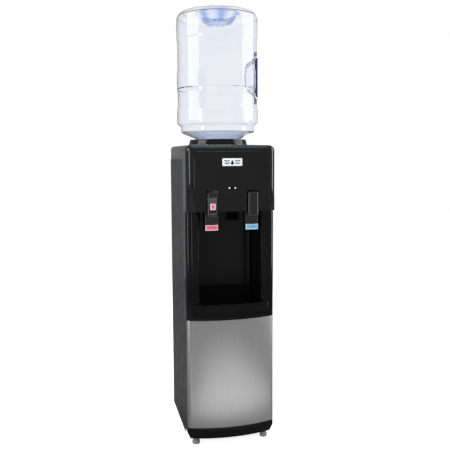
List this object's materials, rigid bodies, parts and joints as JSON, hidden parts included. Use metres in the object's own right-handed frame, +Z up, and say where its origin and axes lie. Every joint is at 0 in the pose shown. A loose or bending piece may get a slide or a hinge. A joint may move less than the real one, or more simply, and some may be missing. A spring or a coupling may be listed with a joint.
{
  "type": "water dispenser",
  "caption": "Tall free-standing hot and cold water dispenser: inverted clear bottle on a seat, lever taps in an alcove, pull-out drip tray, bowed brushed front, levelling feet, rear condenser.",
  "frame": {"origin": "on the floor under the middle of the bounding box: midway between the sides, and midway between the lever button and the condenser wires", "axes": "+X to the right of the front, -Y out of the front, +Z up along the bottle"},
  "size_m": [0.282, 0.3839, 1.376],
  "materials": {
    "plinth": "fine satin moulded grain",
    "foot": "matte",
    "side_steel": "satin dark grey paint",
    "rear_steel": "satin black paint",
    "stainless": "vertical brushing under a clear coat",
    "frame_plastic": "satin",
    "alcove_gloss": "piano gloss",
    "head_plastic": "semi gloss",
    "fascia_gloss": "gloss",
    "tray_plastic": "satin",
    "badge": "white, plain",
    "lens": "clear white",
    "board": "solder mask",
    "lever_gloss": "gloss",
    "hot_red": "translucent red",
    "cold_blue": "translucent blue",
    "pin_steel": "bright",
    "valve_plastic": "natural polymer",
    "spring_steel": "bright wire",
    "seat_plastic": "semi gloss",
    "silicone": "translucent silicone",
    "bottle_plastic": "clear pale blue",
    "cap_plastic": "satin",
    "tank_steel": "drawn stainless",
    "foam": "expanded foam",
    "copper": "drawn copper",
    "band_steel": "mica band heater sheath",
    "jacket": "fibre jacket",
    "shelf_steel": "galvanised sheet",
    "box_plastic": "satin",
    "black_paint": "black paint",
    "red_switch": "gloss",
    "green_switch": "gloss"
  },
  "bodies": {
    "cabinet": {"base_plinth": "plinth", "side_panel_left": "side_steel", "side_panel_right": "side_steel", "rear_panel": "rear_steel", "rear_screws": "pin_steel", "front_frame": "frame_plastic", "lower_front_panel": "stainless", "alcove_housing": "alcove_gloss", "top_cover": "head_plastic", "fascia_panel": "fascia_gloss", "badge_plate": "badge", "indicator_lenses": "lens", "indicator_board": "board", "pivot_pins": "pin_steel", "hot_faucet": "valve_plastic", "cold_faucet": "valve_plastic", "hot_spring": "spring_steel", "cold_spring": "spring_steel", "bottle_seat": "seat_plastic", "seat_gasket": "silicone", "bottle_probe": "valve_plastic", "cold_tank": "tank_steel", "baffle_plate": "valve_plastic", "cold_insulation": "foam", "evaporator_coil": "copper", "hot_tank": "tank_steel", "heater_band": "band_steel", "thermostats": "box_plastic", "hot_jacket": "jacket", "water_tubes": "silicone", "tank_shelf": "shelf_steel", "control_box": "box_plastic", "compressor": "black_paint", "compressor_mounts": "foot", "condenser_coil": "black_paint", "condenser_brackets": "frame_plastic", "filter_drier": "copper", "refrigerant_lines": "copper", "switch_bezel": "frame_plastic", "drain_stub": "valve_plastic", "cord_gland": "frame_plastic"},
    "hot_lever_body": {"hot_lever": "lever_gloss", "hot_label": "hot_red"},
    "hot_button_body": {"hot_button": "hot_red", "button_spring": "spring_steel"},
    "cold_lever_body": {"cold_lever": "lever_gloss", "cold_label": "cold_blue"},
    "hot_valve_stem": {"hot_plunger": "valve_plastic"},
    "cold_valve_stem": {"cold_plunger": "valve_plastic"},
    "tray_body": {"drip_tray": "tray_plastic"},
    "grille_body": {"drip_grille": "tray_plastic"},
    "bottle_body": {"water_bottle": "bottle_plastic", "bottle_cap": "cap_plastic"},
    "foot_fl": {"foot_front_left": "foot"},
    "foot_fr": {"foot_front_right": "foot"},
    "foot_rl": {"foot_rear_left": "foot"},
    "foot_rr": {"foot_rear_right": "foot"},
    "hot_rocker": {"hot_switch": "red_switch"},
    "cold_rocker": {"cold_switch": "green_switch"},
    "drain_cap_body": {"drain_cap": "frame_plastic"}
  },
  "joints": [
    {"name": "hot_lever_press", "type": "hinge", "parent": "cabinet", "child": "hot_lever_body", "pos_m": [-0.0635, -0.155, 0.785], "axis": [1, 0, 0], "range_deg": [0, 10], "stiffness_Nm_per_rad": 2, "springref_deg": -5.73},
    {"name": "hot_button_press", "type": "slide", "parent": "hot_lever_body", "child": "hot_button_body", "axis": [0, 1, 0], "range_m": [0, 0.002], "stiffness_N_per_m": 800, "springref_m": -0.0005},
    {"name": "cold_lever_press", "type": "hinge", "parent": "cabinet", "child": "cold_lever_body", "pos_m": [0.0635, -0.155, 0.785], "axis": [1, 0, 0], "range_deg": [0, 10], "stiffness_Nm_per_rad": 2, "springref_deg": -5.73},
    {"name": "hot_valve_lift", "type": "slide", "parent": "cabinet", "child": "hot_valve_stem", "axis": [0, 0, 1], "range_m": [0, 0.0054], "deforming": ["hot_spring"]},
    {"name": "cold_valve_lift", "type": "slide", "parent": "cabinet", "child": "cold_valve_stem", "axis": [0, 0, 1], "range_m": [0, 0.0054], "deforming": ["cold_spring"]},
    {"name": "tray_slide", "type": "slide", "parent": "cabinet", "child": "tray_body", "axis": [0, -1, 0], "range_m": [0, 0.16]},
    {"name": "grille_lift", "type": "slide", "parent": "tray_body", "child": "grille_body", "axis": [0, 0, 1], "range_m": [0, 0.06]},
    {"name": "bottle_lift", "type": "slide", "parent": "cabinet", "child": "bottle_body", "axis": [0, 0, 1], "range_m": [0, 0.12]},
    {"name": "foot_fl_screw", "type": "hinge", "parent": "cabinet", "child": "foot_fl", "pos_m": [-0.112, -0.133, 0.02], "axis": [0, 0, 1], "continuous": true},
    {"name": "foot_fr_screw", "type": "hinge", "parent": "cabinet", "child": "foot_fr", "pos_m": [0.112, -0.133, 0.02], "axis": [0, 0, 1], "continuous": true},
    {"name": "foot_rl_screw", "type": "hinge", "parent": "cabinet", "child": "foot_rl", "pos_m": [-0.112, 0.105, 0.02], "axis": [0, 0, 1], "continuous": true},
    {"name": "foot_rr_screw", "type": "hinge", "parent": "cabinet", "child": "foot_rr", "pos_m": [0.112, 0.105, 0.02], "axis": [0, 0, 1], "continuous": true},
    {"name": "hot_rocker_tilt", "type": "hinge", "parent": "cabinet", "child": "hot_rocker", "pos_m": [0.022, 0.15185, 0.72], "axis": [1, 0, 0], "range_deg": [0, 18]},
    {"name": "cold_rocker_tilt", "type": "hinge", "parent": "cabinet", "child": "cold_rocker", "pos_m": [-0.022, 0.15185, 0.72], "axis": [1, 0, 0], "range_deg": [0, 18]},
    {"name": "drain_cap_pull", "type": "slide", "parent": "cabinet", "child": "drain_cap_body", "axis": [0, 1, 0], "range_m": [0, 0.015]}
  ],
  "couplings": [
    {"joint": "hot_valve_lift", "follows": "hot_lever_press", "m_per_rad": 0.03},
    {"joint": "cold_valve_lift", "follows": "cold_lever_press", "m_per_rad": 0.03}
  ]
}
